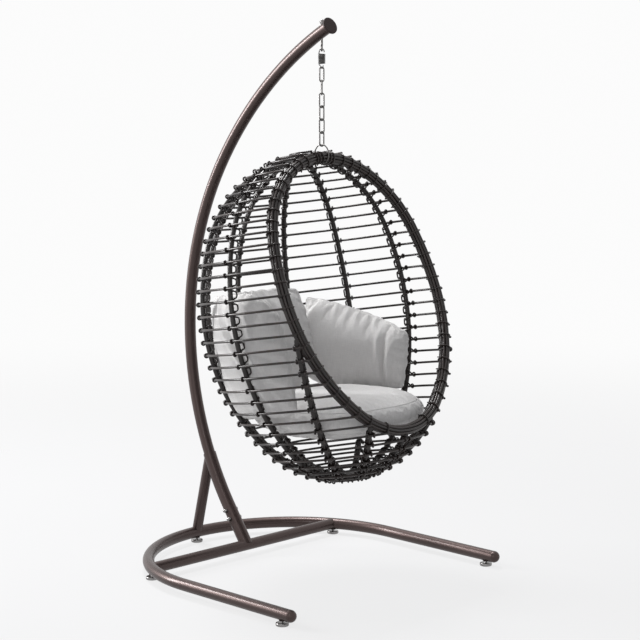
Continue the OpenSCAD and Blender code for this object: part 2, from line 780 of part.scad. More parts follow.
// Hub: a flat-sided disc whose sides face the ribs' ends
module hub_outline(r) {
    polygon([for (i = [0 : RIB_COUNT - 1])
        let (a = rib_turns[i], b = rib_turns[(i + 1) % RIB_COUNT],
             gap = b > a ? b - a : b + 360 - a)
        r / cos(gap / 2) * dir(a + gap / 2 - 90)]);
}

module hub_solid(t) {
    translate([0, 0, -t / 2]) linear_extrude(t) hub_outline(hub_r);
}

module at_bottom_hub() {
    translate([0, 0, outline_at(egg_oval, hub_normal_low, rib_inset)[1]]) children();
}

// The top hub lies flat on the crown, a little behind the pole
module at_top_hub() {
    translate([0, 0, egg_h - egg_top_r]) rotate([-hub_lean, 0, 0])
        translate([0, 0, sqrt(pow(crown_r, 2) - pow(hub_r, 2))]) children();
}

module bottom_hub() {
    color(cane_black) in_basket() at_bottom_hub() hub_solid(hub_t);
}

module top_hub() {
    color(cane_black) in_basket() at_top_hub() hub_solid(hub_t);
}

// ---------------------------------------------------------------- cushions
// Seat cushion: a crowned disc with a drawn-in side between two piped edges, on a grid of
// turns a and steps t round its profile. Its outline is flatter in front, behind the rim.
seat_turns = 44;
seat_side_t = seat_t * 0.6;
seat_pipe = 5;
seat_waist = 6;
function seat_edge(a) =
    seat_d / 2 - seat_flat * pow(max(0, -sin(a)), 4);
seat_flat = 54;
function seat_rim(side, b) = [seat_pipe * cos(b) - seat_pipe, side * seat_side_t / 2 + seat_pipe * sin(b)];
seat_profile = concat(
    [for (t = [0 : 5]) let (u = t / 5 * 0.95)
        [u, 0, -seat_side_t / 2 - (seat_t - seat_side_t) / 2 * sqrt(1 - u * u)]],
    [for (b = [-90, -45, 0, 50]) [1, seat_rim(-1, b)[0], seat_rim(-1, b)[1]]],
    [for (v = [-0.5, 0, 0.5]) [1, -seat_pipe - seat_waist * (1 - 2 * v * v), v * seat_side_t * 0.9]],
    [for (b = [-50, 0, 45, 90]) [1, seat_rim(1, b)[0], seat_rim(1, b)[1]]],
    [for (t = [5 : -1 : 0]) let (u = t / 5 * 0.95)
        [u, 0, seat_side_t / 2 + (seat_t - seat_side_t) / 2 * sqrt(1 - u * u)]]);
module seat_cushion() {
    rows = len(seat_profile);
    inner = rows - 2;
    pts = concat(
        [[0, 0, seat_profile[0][2]]],
        [for (i = [0 : seat_turns - 1]) for (k = [1 : rows - 2])
            let (a = 360 * i / seat_turns, f = seat_profile[k], r = f[0] * seat_edge(a) + f[1])
            [r * cos(a), r * sin(a), f[2]]],
        [[0, 0, seat_profile[rows - 1][2]]]);
    last = len(pts) - 1;
    function at(i, k) = 1 + (i % seat_turns) * inner + k;
    walls = [for (i = [0 : seat_turns - 1]) for (k = [0 : inner - 2])
        each [[at(i, k), at(i, k + 1), at(i + 1, k)],
              [at(i + 1, k), at(i, k + 1), at(i + 1, k + 1)]]];
    ends = [for (i = [0 : seat_turns - 1])
        each [[0, at(i, 0), at(i + 1, 0)], [last, at(i + 1, inner - 1), at(i, inner - 1)]]];
    color(cloth) in_basket() translate([0, seat_shift, seat_s]) rotate([seat_tip, 0, 0])
        polyhedron(pts, concat(walls, ends), convexity = 4);
}

// Scatter cushion: a crowned square with round corners. It is made of two curved faces on one
// grid, u and v from -1 to 1, that meet in a thin knife edge. Its upper edge may slump to one
// side.
pillow_n = 20;
edge_t = 3;
draw_in = 0.2;
function crown_at(u, v) = pow(max(0, (1 - u * u) * (1 - v * v)), 0.45);
function pillow_point(u, v, side, w, h, t, bend, slump) =
    let (x = w / 2 * u * (1 - draw_in * pow(v, 4)),
         sunk = v > 0 ? 1 - slump * (1 - u) / 2 : 1,
         z = h / 2 * v * sunk * (1 - draw_in * pow(u, 4)),
         y = side * (edge_t / 2 + (t - edge_t) / 2 * crown_at(u, v)),
         a = 180 * x / PI / bend)
    [(bend - y) * sin(a), bend - (bend - y) * cos(a), z];
module pillow_solid(w, h, t, bend, slump) {
    n = pillow_n;
    row = n + 1;
    count = row * row;
    pts = [for (side = [1, -1]) for (i = [0 : n]) for (k = [0 : n])
        pillow_point(2 * i / n - 1, 2 * k / n - 1, side, w, h, t, bend, slump)];
    front = [for (i = [0 : n - 1]) for (k = [0 : n - 1])
        let (a = i * row + k) each [[a, a + row, a + 1], [a + 1, a + row, a + row + 1]]];
    back = [for (f = front) [f[0] + count, f[2] + count, f[1] + count]];
    edge = concat([for (k = [0 : n]) k], [for (i = [1 : n]) i * row + n],
                  [for (k = [1 : n]) n * row + n - k], [for (i = [1 : n - 1]) (n - i) * row]);
    walls = [for (i = [0 : len(edge) - 1])
        let (a = edge[i], b = edge[(i + 1) % len(edge)])
        each [[a, b, a + count], [b, b + count, a + count]]];
    polyhedron(pts, concat(front, back, walls), convexity = 6);
}

// turn is from the basket's front, lean is backward, roll is in the cushion's own plane
pillow_bend = 430;
right_slump = 0.7;
module pillow(w, h, turn, out, s, lean, roll, slump) {
    color(cloth) in_basket() rotate([0, 0, turn]) translate([0, -out, s])
        rotate([lean, 0, 0]) rotate([0, roll, 0])
            pillow_solid(w, h, pillow_t, pillow_bend, slump);
}

module pillow_at_left() {
    pillow(pillow_w_left, pillow_h_left, -108, 356, 494, 6, 0, 0);
}

module pillow_at_back() {
    pillow(pillow_w_back, pillow_h_back, 177, 363, 502, 7, 0, 0);
}

module pillow_at_right() {
    pillow(pillow_w_right, pillow_h_right, 114, 326, 468, 8, -8, right_slump);
}

base_rail();
leg_cap(-1);  // leg_cap_left
leg_cap(1);  // leg_cap_right
cross_bar();
mast_socket();
rear_strut();
mast();
mast_cap();
socket_bolts();
socket_nuts();
hanger_bolt();
hanger_nut();
foot_inserts();
for (i = [0 : foot_count - 1]) {
    foot_stem(i);
    foot_pad(i);
}
spring();
for (i = [0 : link_count - 1])
    chain_link(i);
hang_ring();
rim();
rim_bindings();
bottom_hub();
top_hub();
for (i = [0 : RIB_COUNT - 1])
    rib(i);
rungs(rung_first, -11);  // rungs_foot
rungs(-10, -5);  // rungs_seat
rungs(-4, 3);  // rungs_back
rungs(4, 10);  // rungs_shoulder
rungs(11, rung_last);  // rungs_crown
seat_cushion();
pillow_at_left();  // pillow_left
pillow_at_back();  // pillow_back
pillow_at_right();  // pillow_right
echo("least gap of the spring to itself", min(spring_gaps) - spring_wire);
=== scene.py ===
import json
import math
import bpy
import numpy as np
from mathutils import Matrix, Vector


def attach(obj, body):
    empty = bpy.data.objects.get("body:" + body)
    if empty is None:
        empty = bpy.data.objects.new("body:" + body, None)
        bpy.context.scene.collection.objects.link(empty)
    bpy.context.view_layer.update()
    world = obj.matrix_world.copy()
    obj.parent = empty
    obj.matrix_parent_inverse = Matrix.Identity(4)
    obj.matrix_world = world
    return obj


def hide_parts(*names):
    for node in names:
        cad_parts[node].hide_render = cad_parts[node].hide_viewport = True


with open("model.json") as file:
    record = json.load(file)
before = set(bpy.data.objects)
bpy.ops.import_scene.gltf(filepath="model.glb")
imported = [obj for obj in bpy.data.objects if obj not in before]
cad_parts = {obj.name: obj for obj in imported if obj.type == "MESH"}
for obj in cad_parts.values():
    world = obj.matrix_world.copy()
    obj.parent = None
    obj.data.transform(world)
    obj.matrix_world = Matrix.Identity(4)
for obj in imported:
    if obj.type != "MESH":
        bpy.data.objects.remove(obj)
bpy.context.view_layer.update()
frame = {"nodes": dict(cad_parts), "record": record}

print("frame loaded")

# ---- geometry helpers: lengths in millimetres until a mesh is made


def unit(vectors):
    # each row over its own length
    return vectors / np.linalg.norm(vectors, axis=-1, keepdims=True)


def tangents(points, closed):
    # central differences along the path
    if closed:
        return unit(np.roll(points, -1, axis=0) - np.roll(points, 1, axis=0))
    return unit(np.gradient(points, axis=0))


def roundEnds(points, radius, rings=4):
    # adds a half ball at each end: step b moves on by r sin b and shrinks to r cos b
    points = np.asarray(points, float)
    radius = np.broadcast_to(np.asarray(radius, float), len(points)).copy()
    turn = np.linspace(0, math.radians(84), rings + 1)[1:]
    first = unit(points[0] - points[1])
    last = unit(points[-1] - points[-2])
    head = points[0] + first * radius[0] * np.sin(turn[::-1])[:, None]
    tail = points[-1] + last * radius[-1] * np.sin(turn)[:, None]
    sizes = [radius[0] * np.cos(turn[::-1]), radius, radius[-1] * np.cos(turn)]
    return np.concatenate([head, points, tail]), np.concatenate(sizes)


def square(side, along):
    # the part of each side vector that stands square to the path, one long
    return unit(side - np.sum(side * along, axis=1, keepdims=True) * along)


def tube(points, side, radius, sides=10, closed=False):
    # ring i, corner k: p + r (cos a u + sin a v); u starts as the squared side vector and is
    # turned back by the sum of what it turned since the first ring, so the tube has no twist
    points = np.asarray(points, float)
    count = len(points)
    along = tangents(points, closed)
    side = np.broadcast_to(np.asarray(side, float), points.shape) + 1e-4
    u = square(side, along)
    v = np.cross(along, u)
    carried = square(np.roll(u, 1, axis=0), along)
    turn = np.arctan2(np.sum(carried * v, axis=1), np.sum(carried * u, axis=1))
    close = turn[0] if closed else 0.0
    turn[0] = 0.0
    turn = np.cumsum(turn)[:, None]
    if closed:
        whole = turn[-1] + close
        turn = turn - (whole - np.round(whole / (2 * math.pi)) * 2 * math.pi) \
            * (np.arange(count) / count)[:, None]
    u, v = np.cos(turn) * u + np.sin(turn) * v, np.cos(turn) * v - np.sin(turn) * u
    radius = np.broadcast_to(np.asarray(radius, float), count)
    a = np.linspace(0, 2 * math.pi, sides, endpoint=False)
    ring = np.cos(a)[None, :, None] * u[:, None] + np.sin(a)[None, :, None] * v[:, None]
    verts = (points[:, None] + radius[:, None, None] * ring).reshape(-1, 3)
    step = np.linalg.norm(np.diff(points, axis=0), axis=1)
    length = np.concatenate([[0], np.cumsum(step)])
    lay = np.stack(np.broadcast_arrays(length[:, None], radius[:, None] * np.cos(a),
                                       radius[:, None] * np.sin(a)), axis=-1).reshape(-1, 3)
    rows = np.arange(count if closed else count - 1)[:, None]
    cols = np.arange(sides)[None, :]
    here, ahead = rows * sides, (rows + 1) % count * sides
    right = (cols + 1) % sides
    quads = np.stack([here + cols, here + right, ahead + right, ahead + cols], axis=-1)
    faces = quads.reshape(-1, 4).tolist()
    if not closed:
        faces.append(list(range(sides))[::-1])
        faces.append(list(range((count - 1) * sides, count * sides)))
    return verts, faces, lay


def smoothPath(points, steps):
    # a curve through the points whose slope at each is half the chord between its neighbours
    points = np.asarray(points, float)
    row = np.concatenate([2 * points[:1] - points[1:2], points, 2 * points[-1:] - points[-2:-1]])
    a, b, c, d = row[:-3], row[1:-2], row[2:-1], row[3:]
    t = (np.arange(steps) / steps)[:, None, None]
    curve = 0.5 * (2 * b + (c - a) * t + (2 * a - 5 * b + 4 * c - d) * t ** 2
                   + (3 * b - a - 3 * c + d) * t ** 3)
    return np.concatenate([curve.transpose(1, 0, 2).reshape(-1, points.shape[1]), points[-1:]])


def grid(points, wrap=False):
    # quads over a rows by columns array of points
    rows, cols = points.shape[:2]
    i = np.arange(rows - 1)[:, None]
    k = np.arange(cols if wrap else cols - 1)[None, :]
    ahead = (k + 1) % cols
    quads = np.stack(np.broadcast_arrays(i * cols + k, i * cols + ahead, (i + 1) * cols + ahead,
                                         (i + 1) * cols + k), axis=-1)
    return points.reshape(-1, 3), quads.reshape(-1, 4).tolist()


def gather(parts):
    # several (verts, faces, lay) as one, with a number per part
    verts, faces, lay, which = [], [], [], []
    start = 0
    for number, (points, polygons, spread) in enumerate(parts):
        verts.append(points)
        lay.append(spread)
        which.append(np.full(len(points), float(number)))
        faces.extend([[corner + start for corner in polygon] for polygon in polygons])
        start += len(points)
    return np.concatenate(verts), faces, np.concatenate(lay), np.concatenate(which)


def addMesh(name, verts, faces, lay=None, which=None):
    mesh = bpy.data.meshes.new(name)
    mesh.from_pydata((np.asarray(verts) / 1000).tolist(), [], faces)
    if lay is not None:
        spread = mesh.attributes.new("lay", "FLOAT_VECTOR", "POINT")
        spread.data.foreach_set("vector", (np.asarray(lay, float) / 1000).ravel())
    if which is not None:
        number = mesh.attributes.new("which", "FLOAT", "POINT")
        number.data.foreach_set("value", np.asarray(which, float))
    mesh.validate()
    mesh.shade_smooth()
    obj = bpy.data.objects.new(name, mesh)
    bpy.context.scene.collection.objects.link(obj)
    return obj


def addPiece(name, parts, material, body, nodes=()):
    verts, faces, lay, which = gather(parts)
    obj = addMesh(name, verts, faces, lay, which)
    obj.data.materials.append(material)
    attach(obj, body)
    if nodes:
        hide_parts(*nodes)
    return obj


# ---- shader helpers


class Value:
    # a number socket that can be added, multiplied and so on
    def __init__(self, kit, socket):
        self.kit, self.socket = kit, socket

    def __add__(self, other):
        return self.kit.maths("ADD", self, other)

    def __sub__(self, other):
        return self.kit.maths("SUBTRACT", self, other)

    def __rsub__(self, other):
        return self.kit.maths("SUBTRACT", other, self)

    def __mul__(self, other):
        return self.kit.maths("MULTIPLY", self, other)

    def __pow__(self, other):
        return self.kit.maths("POWER", self, other)

    __radd__ = __add__
    __rmul__ = __mul__


class Kit:
    # one material and its nodes
    def __init__(self, name, **constants):
        self.material = bpy.data.materials.new(name)
        self.material.use_nodes = True
        self.tree = self.material.node_tree
        self.shader = self.tree.nodes["Principled BSDF"]
        for socket, value in constants.items():
            self.shader.inputs[socket.replace("_", " ")].default_value = value

    def node(self, kind, settings, values):
        made = self.tree.nodes.new(kind)
        for key, value in settings.items():
            setattr(made, key, value)
        for key, value in values.items():
            self.put(made.inputs[key], value)
        return made

    def put(self, socket, value):
        if isinstance(value, Value):
            self.tree.links.new(value.socket, socket)
        else:
            socket.default_value = value

    def maths(self, operation, a, b=0.0):
        made = self.node("ShaderNodeMath", {"operation": operation}, {0: a, 1: b})
        return Value(self, made.outputs[0])

    def attribute(self, name, output="Vector"):
        made = self.node("ShaderNodeAttribute", {"attribute_name": name}, {})
        return Value(self, made.outputs[output])

    def objectPlace(self):
        return Value(self, self.node("ShaderNodeTexCoord", {}, {}).outputs["Object"])

    def stretch(self, place, scale):
        made = self.node("ShaderNodeVectorMath", {"operation": "MULTIPLY"}, {0: place, 1: scale})
        return Value(self, made.outputs[0])

    def shifted(self, place, offset):
        made = self.node("ShaderNodeVectorMath", {"operation": "ADD"}, {0: place, 1: offset})
        return Value(self, made.outputs[0])

    def split(self, place):
        made = self.node("ShaderNodeSeparateXYZ", {}, {0: place})
        return [Value(self, made.outputs[i]) for i in range(3)]

    def noise(self, place, scale, detail=3.0, roughness=0.5):
        made = self.node("ShaderNodeTexNoise", {}, {"Vector": place, "Scale": scale,
                                                    "Detail": detail, "Roughness": roughness})
        return Value(self, made.outputs["Fac"])

    def ramp(self, value, low, high):
        # 0 below low, 1 above high, smooth between
        made = self.node("ShaderNodeMapRange", {"interpolation_type": "SMOOTHSTEP"},
                         {"Value": value, "From Min": low, "From Max": high})
        return Value(self, made.outputs["Result"])

    def mix(self, factor, a, b):
        made = self.node("ShaderNodeMix", {"data_type": "RGBA"}, {"Factor": factor})
        for socket, colour in ((made.inputs[6], a), (made.inputs[7], b)):
            self.put(socket, colour if isinstance(colour, Value) else (*colour, 1.0))
        return Value(self, made.outputs[2])

    def bump(self, height, distance, strength=1.0):
        made = self.node("ShaderNodeBump", {}, {"Height": height, "Distance": distance,
                                                "Strength": strength})
        self.tree.links.new(made.outputs["Normal"], self.shader.inputs["Normal"])

    def feed(self, **values):
        for socket, value in values.items():
            self.put(self.shader.inputs[socket.replace("_", " ")], value)
        return self.material


# glossy brown paint with a fine metal flake, a little orange peel and dust near the floor
paintLook = dict(base=(0.066, 0.046, 0.043), deep=(0.044, 0.030, 0.028), dust=(0.13, 0.115, 0.105),
                 spark=(0.22, 0.175, 0.165), sparkShare=0.05, dustShare=0.25, peel=160, flake=2600,
                 peelDepth=0.00001, dustTop=0.05, dustGrain=160)


def makePaint():
    kit = Kit("stand_paint", Metallic=0.85, Coat_Roughness=0.16, Coat_IOR=1.5)
    place = kit.objectPlace()
    cloud = kit.noise(place, 9, 4)
    flake = kit.ramp(kit.noise(place, paintLook["flake"], 1), 0.60, 0.72)
    height = kit.split(place)[2]
    low = 1 - kit.ramp(height, 0.0, paintLook["dustTop"])
    dust = low * kit.ramp(kit.noise(place, paintLook["dustGrain"], 5), 0.45, 0.75)
    colour = kit.mix(cloud, paintLook["deep"], paintLook["base"])
    colour = kit.mix(flake * paintLook["sparkShare"], colour, paintLook["spark"])
    colour = kit.mix(dust * paintLook["dustShare"], colour, paintLook["dust"])
    kit.bump(kit.noise(place, paintLook["peel"], 2), paintLook["peelDepth"])
    return kit.feed(Base_Color=colour, Roughness=0.38 + cloud * 0.06 + dust * 0.25,
                    Coat_Weight=0.20 - dust * 0.15)


def makeSteel(name, colour, deep, rough, tarnish):
    # zinc plating: soft spangle, fine draw lines and darker tarnish in patches
    kit = Kit(name, Metallic=1.0)
    place = kit.objectPlace()
    spangle = kit.noise(place, 260, 4, 0.7)
    lines = kit.noise(kit.stretch(place, (900, 900, 60)), 1.6, 2)
    patch = kit.ramp(kit.noise(kit.shifted(place, (3.1, 1.7, 0.4)), 55, 4), 0.48, 0.70)
    tone = kit.mix(patch * tarnish, kit.mix(spangle, deep, colour), deep)
    kit.bump(lines * 0.3 + spangle * 0.7, 0.00001)
    return kit.feed(Base_Color=tone, Roughness=rough + spangle * 0.14 + patch * 0.12)


# dull brown caps: fine grain and pale scuffs
plasticLook = dict(base=(0.026, 0.016, 0.015), scuff=(0.06, 0.046, 0.043), scuffShare=0.3,
                   grain=1500, grainDepth=0.00005)


def makePlastic():
    kit = Kit("cap_plastic", Specular_IOR_Level=0.2)
    place = kit.objectPlace()
    grain = kit.noise(place, plasticLook["grain"], 2)
    scuff = kit.ramp(kit.noise(place, 90, 5), 0.55, 0.75)
    kit.bump(grain, plasticLook["grainDepth"])
    return kit.feed(Base_Color=kit.mix(scuff * plasticLook["scuffShare"], plasticLook["base"],
                                       plasticLook["scuff"]),
                    Roughness=0.42 + grain * 0.2)


# smooth synthetic cane: fine grooves along it, slow colour drift and a satin sheen
caneLook = dict(dark=(0.0060, 0.0040, 0.0036), light=(0.026, 0.0165, 0.0145), groove=1700, drift=14,
                depth=0.00006)


def makeCane():
    kit = Kit("cane", Specular_IOR_Level=0.40)
    lay = kit.attribute("lay")
    which = kit.attribute("which", "Fac")
    place = kit.objectPlace()
    groove = kit.noise(kit.stretch(lay, (20, caneLook["groove"], caneLook["groove"])), 1.0, 2)
    streak = kit.noise(kit.stretch(lay, (9, 620, 620)), 1.0, 3, 0.6)
    drift = kit.noise(place, caneLook["drift"], 2)
    each = kit.maths("FRACT", which * 0.37)
    tone = streak * 0.5 + drift * 0.3 + each * 0.35
    kit.bump(groove * 0.4 + streak * 0.6, caneLook["depth"])
    return kit.feed(Base_Color=kit.mix(kit.ramp(tone, 0.2, 0.95), caneLook["dark"],
                                       caneLook["light"]),
                    Roughness=0.24 + streak * 0.12)


# woven linen: crossed threads with slubs along both, and a soft sheen
linenLook = dict(light=(0.69, 0.68, 0.675), shade=(0.54, 0.53, 0.525), thread=0.0009)


def makeLinen():
    kit = Kit("linen", Roughness=0.92, Sheen_Weight=0.25, Sheen_Roughness=0.5,
              Specular_IOR_Level=0.15)
    lay = kit.attribute("lay")
    across, up, _ = kit.split(lay)
    turn = 2 * math.pi / linenLook["thread"]
    warp = kit.maths("SINE", across * turn)
    weft = kit.maths("SINE", up * turn)
    slubWarp = kit.noise(kit.stretch(lay, (900, 35, 60)), 1.0, 3, 0.6)
    slubWeft = kit.noise(kit.stretch(lay, (35, 900, 60)), 1.0, 3, 0.6)
    melange = kit.noise(lay, 420, 3, 0.7)
    wash = kit.noise(lay, 11, 3)
    weave = warp * weft
    tone = slubWarp * 0.4 + slubWeft * 0.4 + melange * 0.25 + wash * 0.15 + weave * 0.05
    kit.bump(weave * 0.35 + slubWarp * 0.5 + slubWeft * 0.5 + wash * 2.0, 0.0005, 0.7)
    return kit.feed(Base_Color=kit.mix(kit.ramp(tone, 0.35, 0.85), linenLook["shade"],
                                       linenLook["light"]))


paint = makePaint()
zinc = makeSteel("bright_steel", (0.40, 0.39, 0.385), (0.12, 0.115, 0.115), 0.20, 0.6)
darkSteel = makeSteel("dark_steel", (0.20, 0.195, 0.19), (0.06, 0.058, 0.056), 0.20, 0.6)
plastic = makePlastic()
cane = makeCane()
linen = makeLinen()
slotLooks = {"stand_paint": paint, "bright_steel": zinc, "dark_steel": darkSteel,
             "cap_plastic": plastic, "cane": cane, "linen": linen}
for part in frame["record"]["subparts"]:
    mesh = frame["nodes"][part["node"]].data
    mesh.materials.clear()
    mesh.materials.append(slotLooks[part["material_slot"]])
print("materials made")

# ---- camera, light and floor

view = dict(target=(0.0, -0.65945, 0.91633), azimuth=-45.246, elevation=7.929, away=6.5413,
            lens=105.32)


def addCamera():
    turn, rise = math.radians(view["azimuth"]), math.radians(view["elevation"])
    flat = math.cos(rise)
    back = Vector((math.sin(turn) * flat, -math.cos(turn) * flat, math.sin(rise)))
    camera = bpy.data.objects.new("camera", bpy.data.cameras.new("camera"))
    camera.data.lens = view["lens"]
    camera.data.clip_end = 100
    camera.location = Vector(view["target"]) + back * view["away"]
    camera.rotation_euler = back.to_track_quat("Z", "Y").to_euler()
    bpy.context.scene.collection.objects.link(camera)
    bpy.context.scene.camera = camera


def addLamp(name, place, aim, size, power):
    lamp = bpy.data.lights.new(name, "AREA")
    lamp.shape = "RECTANGLE"
    lamp.size, lamp.size_y = size
    lamp.energy = power
    obj = bpy.data.objects.new(name, lamp)
    obj.location = place
    obj.rotation_euler = (Vector(place) - Vector(aim)).to_track_quat("Z", "Y").to_euler()
    bpy.context.scene.collection.objects.link(obj)


# near and far: where the floor starts and ends to thin out, in metres from the middle
stageLook = dict(half=60, middle=(0.0, 0.66, 0.0), near=1.3, far=6.0, tone=(0.07, 0.07, 0.072),
                 lift=0.01, glow=(0.78, 0.78, 0.782), plain=(0.97, 0.97, 0.97),
                 skyTone=(0.97, 0.98, 1.0), sky=0.46)


def addStage():
    # a pale floor lit from within, so that shadows stay soft; it thins out with distance
    mesh = bpy.data.meshes.new("floor")
    half = stageLook["half"]
    corners = [(-half, -half, 0), (half, -half, 0), (half, half, 0), (-half, half, 0)]
    mesh.from_pydata(corners, [], [(0, 1, 2, 3)])
    floor = bpy.data.objects.new("floor", mesh)
    bpy.context.scene.collection.objects.link(floor)
    kit = Kit("floor", Roughness=0.7, Specular_IOR_Level=0.0, Emission_Strength=1.0)
    place = kit.objectPlace()
    cloud = kit.noise(place, 0.6, 2)
    x, y, _ = kit.split(kit.shifted(place, stageLook["middle"]))
    away = (x * x + y * y) ** 0.5
    tone = stageLook["tone"]
    lift = tuple(c + stageLook["lift"] for c in tone)
    mesh.materials.append(kit.feed(Base_Color=kit.mix(cloud, tone, lift),
                                   Emission_Color=(*stageLook["glow"], 1.0),
                                   Alpha=1 - kit.ramp(away, stageLook["near"], stageLook["far"])))
    world = bpy.data.worlds.new("studio")
    bpy.context.scene.world = world
    world.use_nodes = True
    tree = world.node_tree
    light = tree.nodes["Background"]
    light.inputs["Color"].default_value = (*stageLook["skyTone"], 1.0)
    light.inputs["Strength"].default_value = stageLook["sky"]
    plain = tree.nodes.new("ShaderNodeBackground")
    plain.inputs["Color"].default_value = (*stageLook["plain"], 1.0)
    plain.inputs["Strength"].default_value = 1.0
    path = tree.nodes.new("ShaderNodeLightPath")
    seen = path.outputs["Is Camera Ray"]
    for ray in ("Is Glossy Ray", "Is Transmission Ray"):
        either = tree.nodes.new("ShaderNodeMath")
        either.operation = "MAXIMUM"
        tree.links.new(seen, either.inputs[0])
        tree.links.new(path.outputs[ray], either.inputs[1])
        seen = either.outputs[0]
    mix = tree.nodes.new("ShaderNodeMixShader")
    tree.links.new(seen, mix.inputs["Fac"])
    tree.links.new(light.outputs[0], mix.inputs[1])
    tree.links.new(plain.outputs[0], mix.inputs[2])
    tree.links.new(mix.outputs[0], tree.nodes["World Output"].inputs["Surface"])


addCamera()
addStage()
addLamp("left", (-2.9, 3.9, 2.6), (0, -0.6, 1.0), (0.9, 3.0), 400)
addLamp("top", (0.4, 1.0, 4.6), (0, -0.6, 0.6), (1.4, 1.4), 230)
addLamp("front", (-5.2, -3.4, 2.6), (0, -0.6, 0.9), (0.12, 2.6), 26)
bpy.context.scene.view_settings.view_transform = "Standard"
print("stage set")

# ---- the basket's outline, as in the frame

# egg and rim: height, half width, belly height, bottom radius, top radius
basket = dict(egg=(1150, 455, 597, 370, 433), rim=(982, 396, 498, 312, 383), rimLean=13.6,
              rimUp=167, rimFront=278, tilt=9.5, turn=4, hang=-668, rimRest=1482.9, pitch=44,
              shift=-18, ribInset=11.85, rimInset=25.6, rungR=4, bundleR=19, hubR=44,
              hubBack=50, first=-17, last=17, ribs=12, ribSkew=-2,
              ribLess=(1.93, 0.886, 0, 0.228, 1.39))


def sideRadius(w, drop, r):
    return (w * w + (drop - r) ** 2 - r * r) / (2 * (w - r))


def outlineShape(oval):
    # radii and turns of the four tangent arcs
    h, w, m, rb, rt = oval
    low, top = sideRadius(w, m, rb), sideRadius(w, h - m, rt)
    return low, top, math.atan2(m - rb, low - w), math.atan2(h - m - rt, top - w)


def normalAt(oval, length):
    # direction of the outward normal at a length along the outline from the belly
    h, w, m, rb, rt = oval
    low, top, lowTurn, topTurn = outlineShape(oval)
    length = np.asarray(length, float)
    up = np.where(length < top * topTurn, length / top, topTurn + (length - top * topTurn) / rt)
    down = np.where(-length < low * lowTurn, -length / low,
                    lowTurn + (-length - low * lowTurn) / rb)
    return np.where(length >= 0, up, -down)


def outlineAt(oval, normal, inset=0.0):
    # distance from the axis and height of the outline moved inward by inset
    h, w, m, rb, rt = oval
    low, top, lowTurn, topTurn = outlineShape(oval)
    normal, inset = np.broadcast_arrays(np.asarray(normal, float), np.asarray(inset, float))
    c, s = np.cos(normal), np.sin(normal)
    pick = [normal >= topTurn, normal >= 0, normal >= -lowTurn]
    across = np.select(pick, [(rt - inset) * c, w - top + (top - inset) * c,
                              w - low + (low - inset) * c], (rb - inset) * c)
    up = np.select(pick, [h - rt + (rt - inset) * s, m + (top - inset) * s, m + (low - inset) * s],
                   rb + (rb - inset) * s)
    return across, up


lean = math.radians(basket["rimLean"])
topFront = basket["rimFront"] - basket["rim"][0] * math.sin(lean)
topUp = basket["rimUp"] + basket["rim"][0] * math.cos(lean)
placeTurn = (Matrix.Rotation(-math.radians(basket["tilt"]), 4, "X")
             @ Matrix.Rotation(math.radians(basket["turn"]), 4, "Z"))
rimTop = placeTurn @ Vector((0, -topFront, topUp))
rimRest = Vector((0, basket["hang"], basket["rimRest"]))
placeBasket = np.array(Matrix.Translation(rimRest - rimTop) @ placeTurn)


def toWorld(points, place=placeBasket):
    return np.asarray(points) @ place[:3, :3].T + place[:3, 3]


def turned(vectors, place=placeBasket):
    return np.asarray(vectors) @ place[:3, :3].T


def rimFrontAt(up):
    return basket["rimFront"] - (up - basket["rimUp"]) * math.tan(lean)


def rungEnds(j):
    # half angle of the mouth at rung j, 0 for a whole hoop
    normal = float(normalAt(basket["egg"], basket["shift"] + j * basket["pitch"]))
    across, up = outlineAt(basket["egg"], normal, basket["rimInset"])
    front = rimFrontAt(float(up))
    return normal, (math.acos(front / float(across)) if front < across else 0.0)


ribTurns = [math.radians(basket["ribSkew"] + 360 / basket["ribs"] * (i if i < 7 else i - 12))
            for i in range(basket["ribs"])]

# rungs: hoops, or arcs round the back whose rounded ends reach past the rim's binding
rungLook = dict(sides=10, step=math.radians(2.2), past=-2, wobble=0.35, seed=4)


def rungPath(j, rand):
    normal, mouth = rungEnds(j)
    across, up = (float(value) for value in outlineAt(basket["egg"], normal))
    phase, sway = rand.uniform(0, 2 * math.pi, 3), rungLook["wobble"]
    if mouth:
        mouth -= rungLook["past"] / across
    span = 2 * math.pi - 2 * mouth
    count = int(span / rungLook["step"])
    a = mouth + np.linspace(0, span, count, endpoint=bool(mouth))
    rise = up + sway * (np.sin(3 * a + phase[0]) + 0.6 * np.sin(7 * a + phase[1]))
    out = across + 0.5 * sway * np.sin(5 * a + phase[2])
    points = np.stack([np.sin(a) * out, -np.cos(a) * out, rise], axis=1)
    return points, not mouth


def makeRungs(name, first, last):
    rand = np.random.RandomState(rungLook["seed"] + first - basket["first"])
    parts = []
    for j in range(first, last + 1):
        points, closed = rungPath(j, rand)
        radius = basket["rungR"]
        if not closed:
            points, radius = roundEnds(points, radius)
        parts.append(tube(toWorld(points), turned([0, 0, 1.0]), radius, rungLook["sides"], closed))
    addPiece(name + "_canes", parts, cane, "basket", [name])


for name, first, last in (("rungs_foot", -17, -11), ("rungs_seat", -10, -5),
                          ("rungs_back", -4, 3), ("rungs_shoulder", 4, 10),
                          ("rungs_crown", 11, 17)):
    makeRungs(name, first, last)
print("rungs made")


# rim: canes side by side round a core, tied at the end of every rung
rimLook = dict(canes=10, caneR=4.3, coreR=11.2, step=7.0, tieR=2.3, tieSides=8, tieSteps=34,
               sway=0.5, hook=7.0, extra=(-30.0, -15.0, 15.0, 30.0), seed=9)


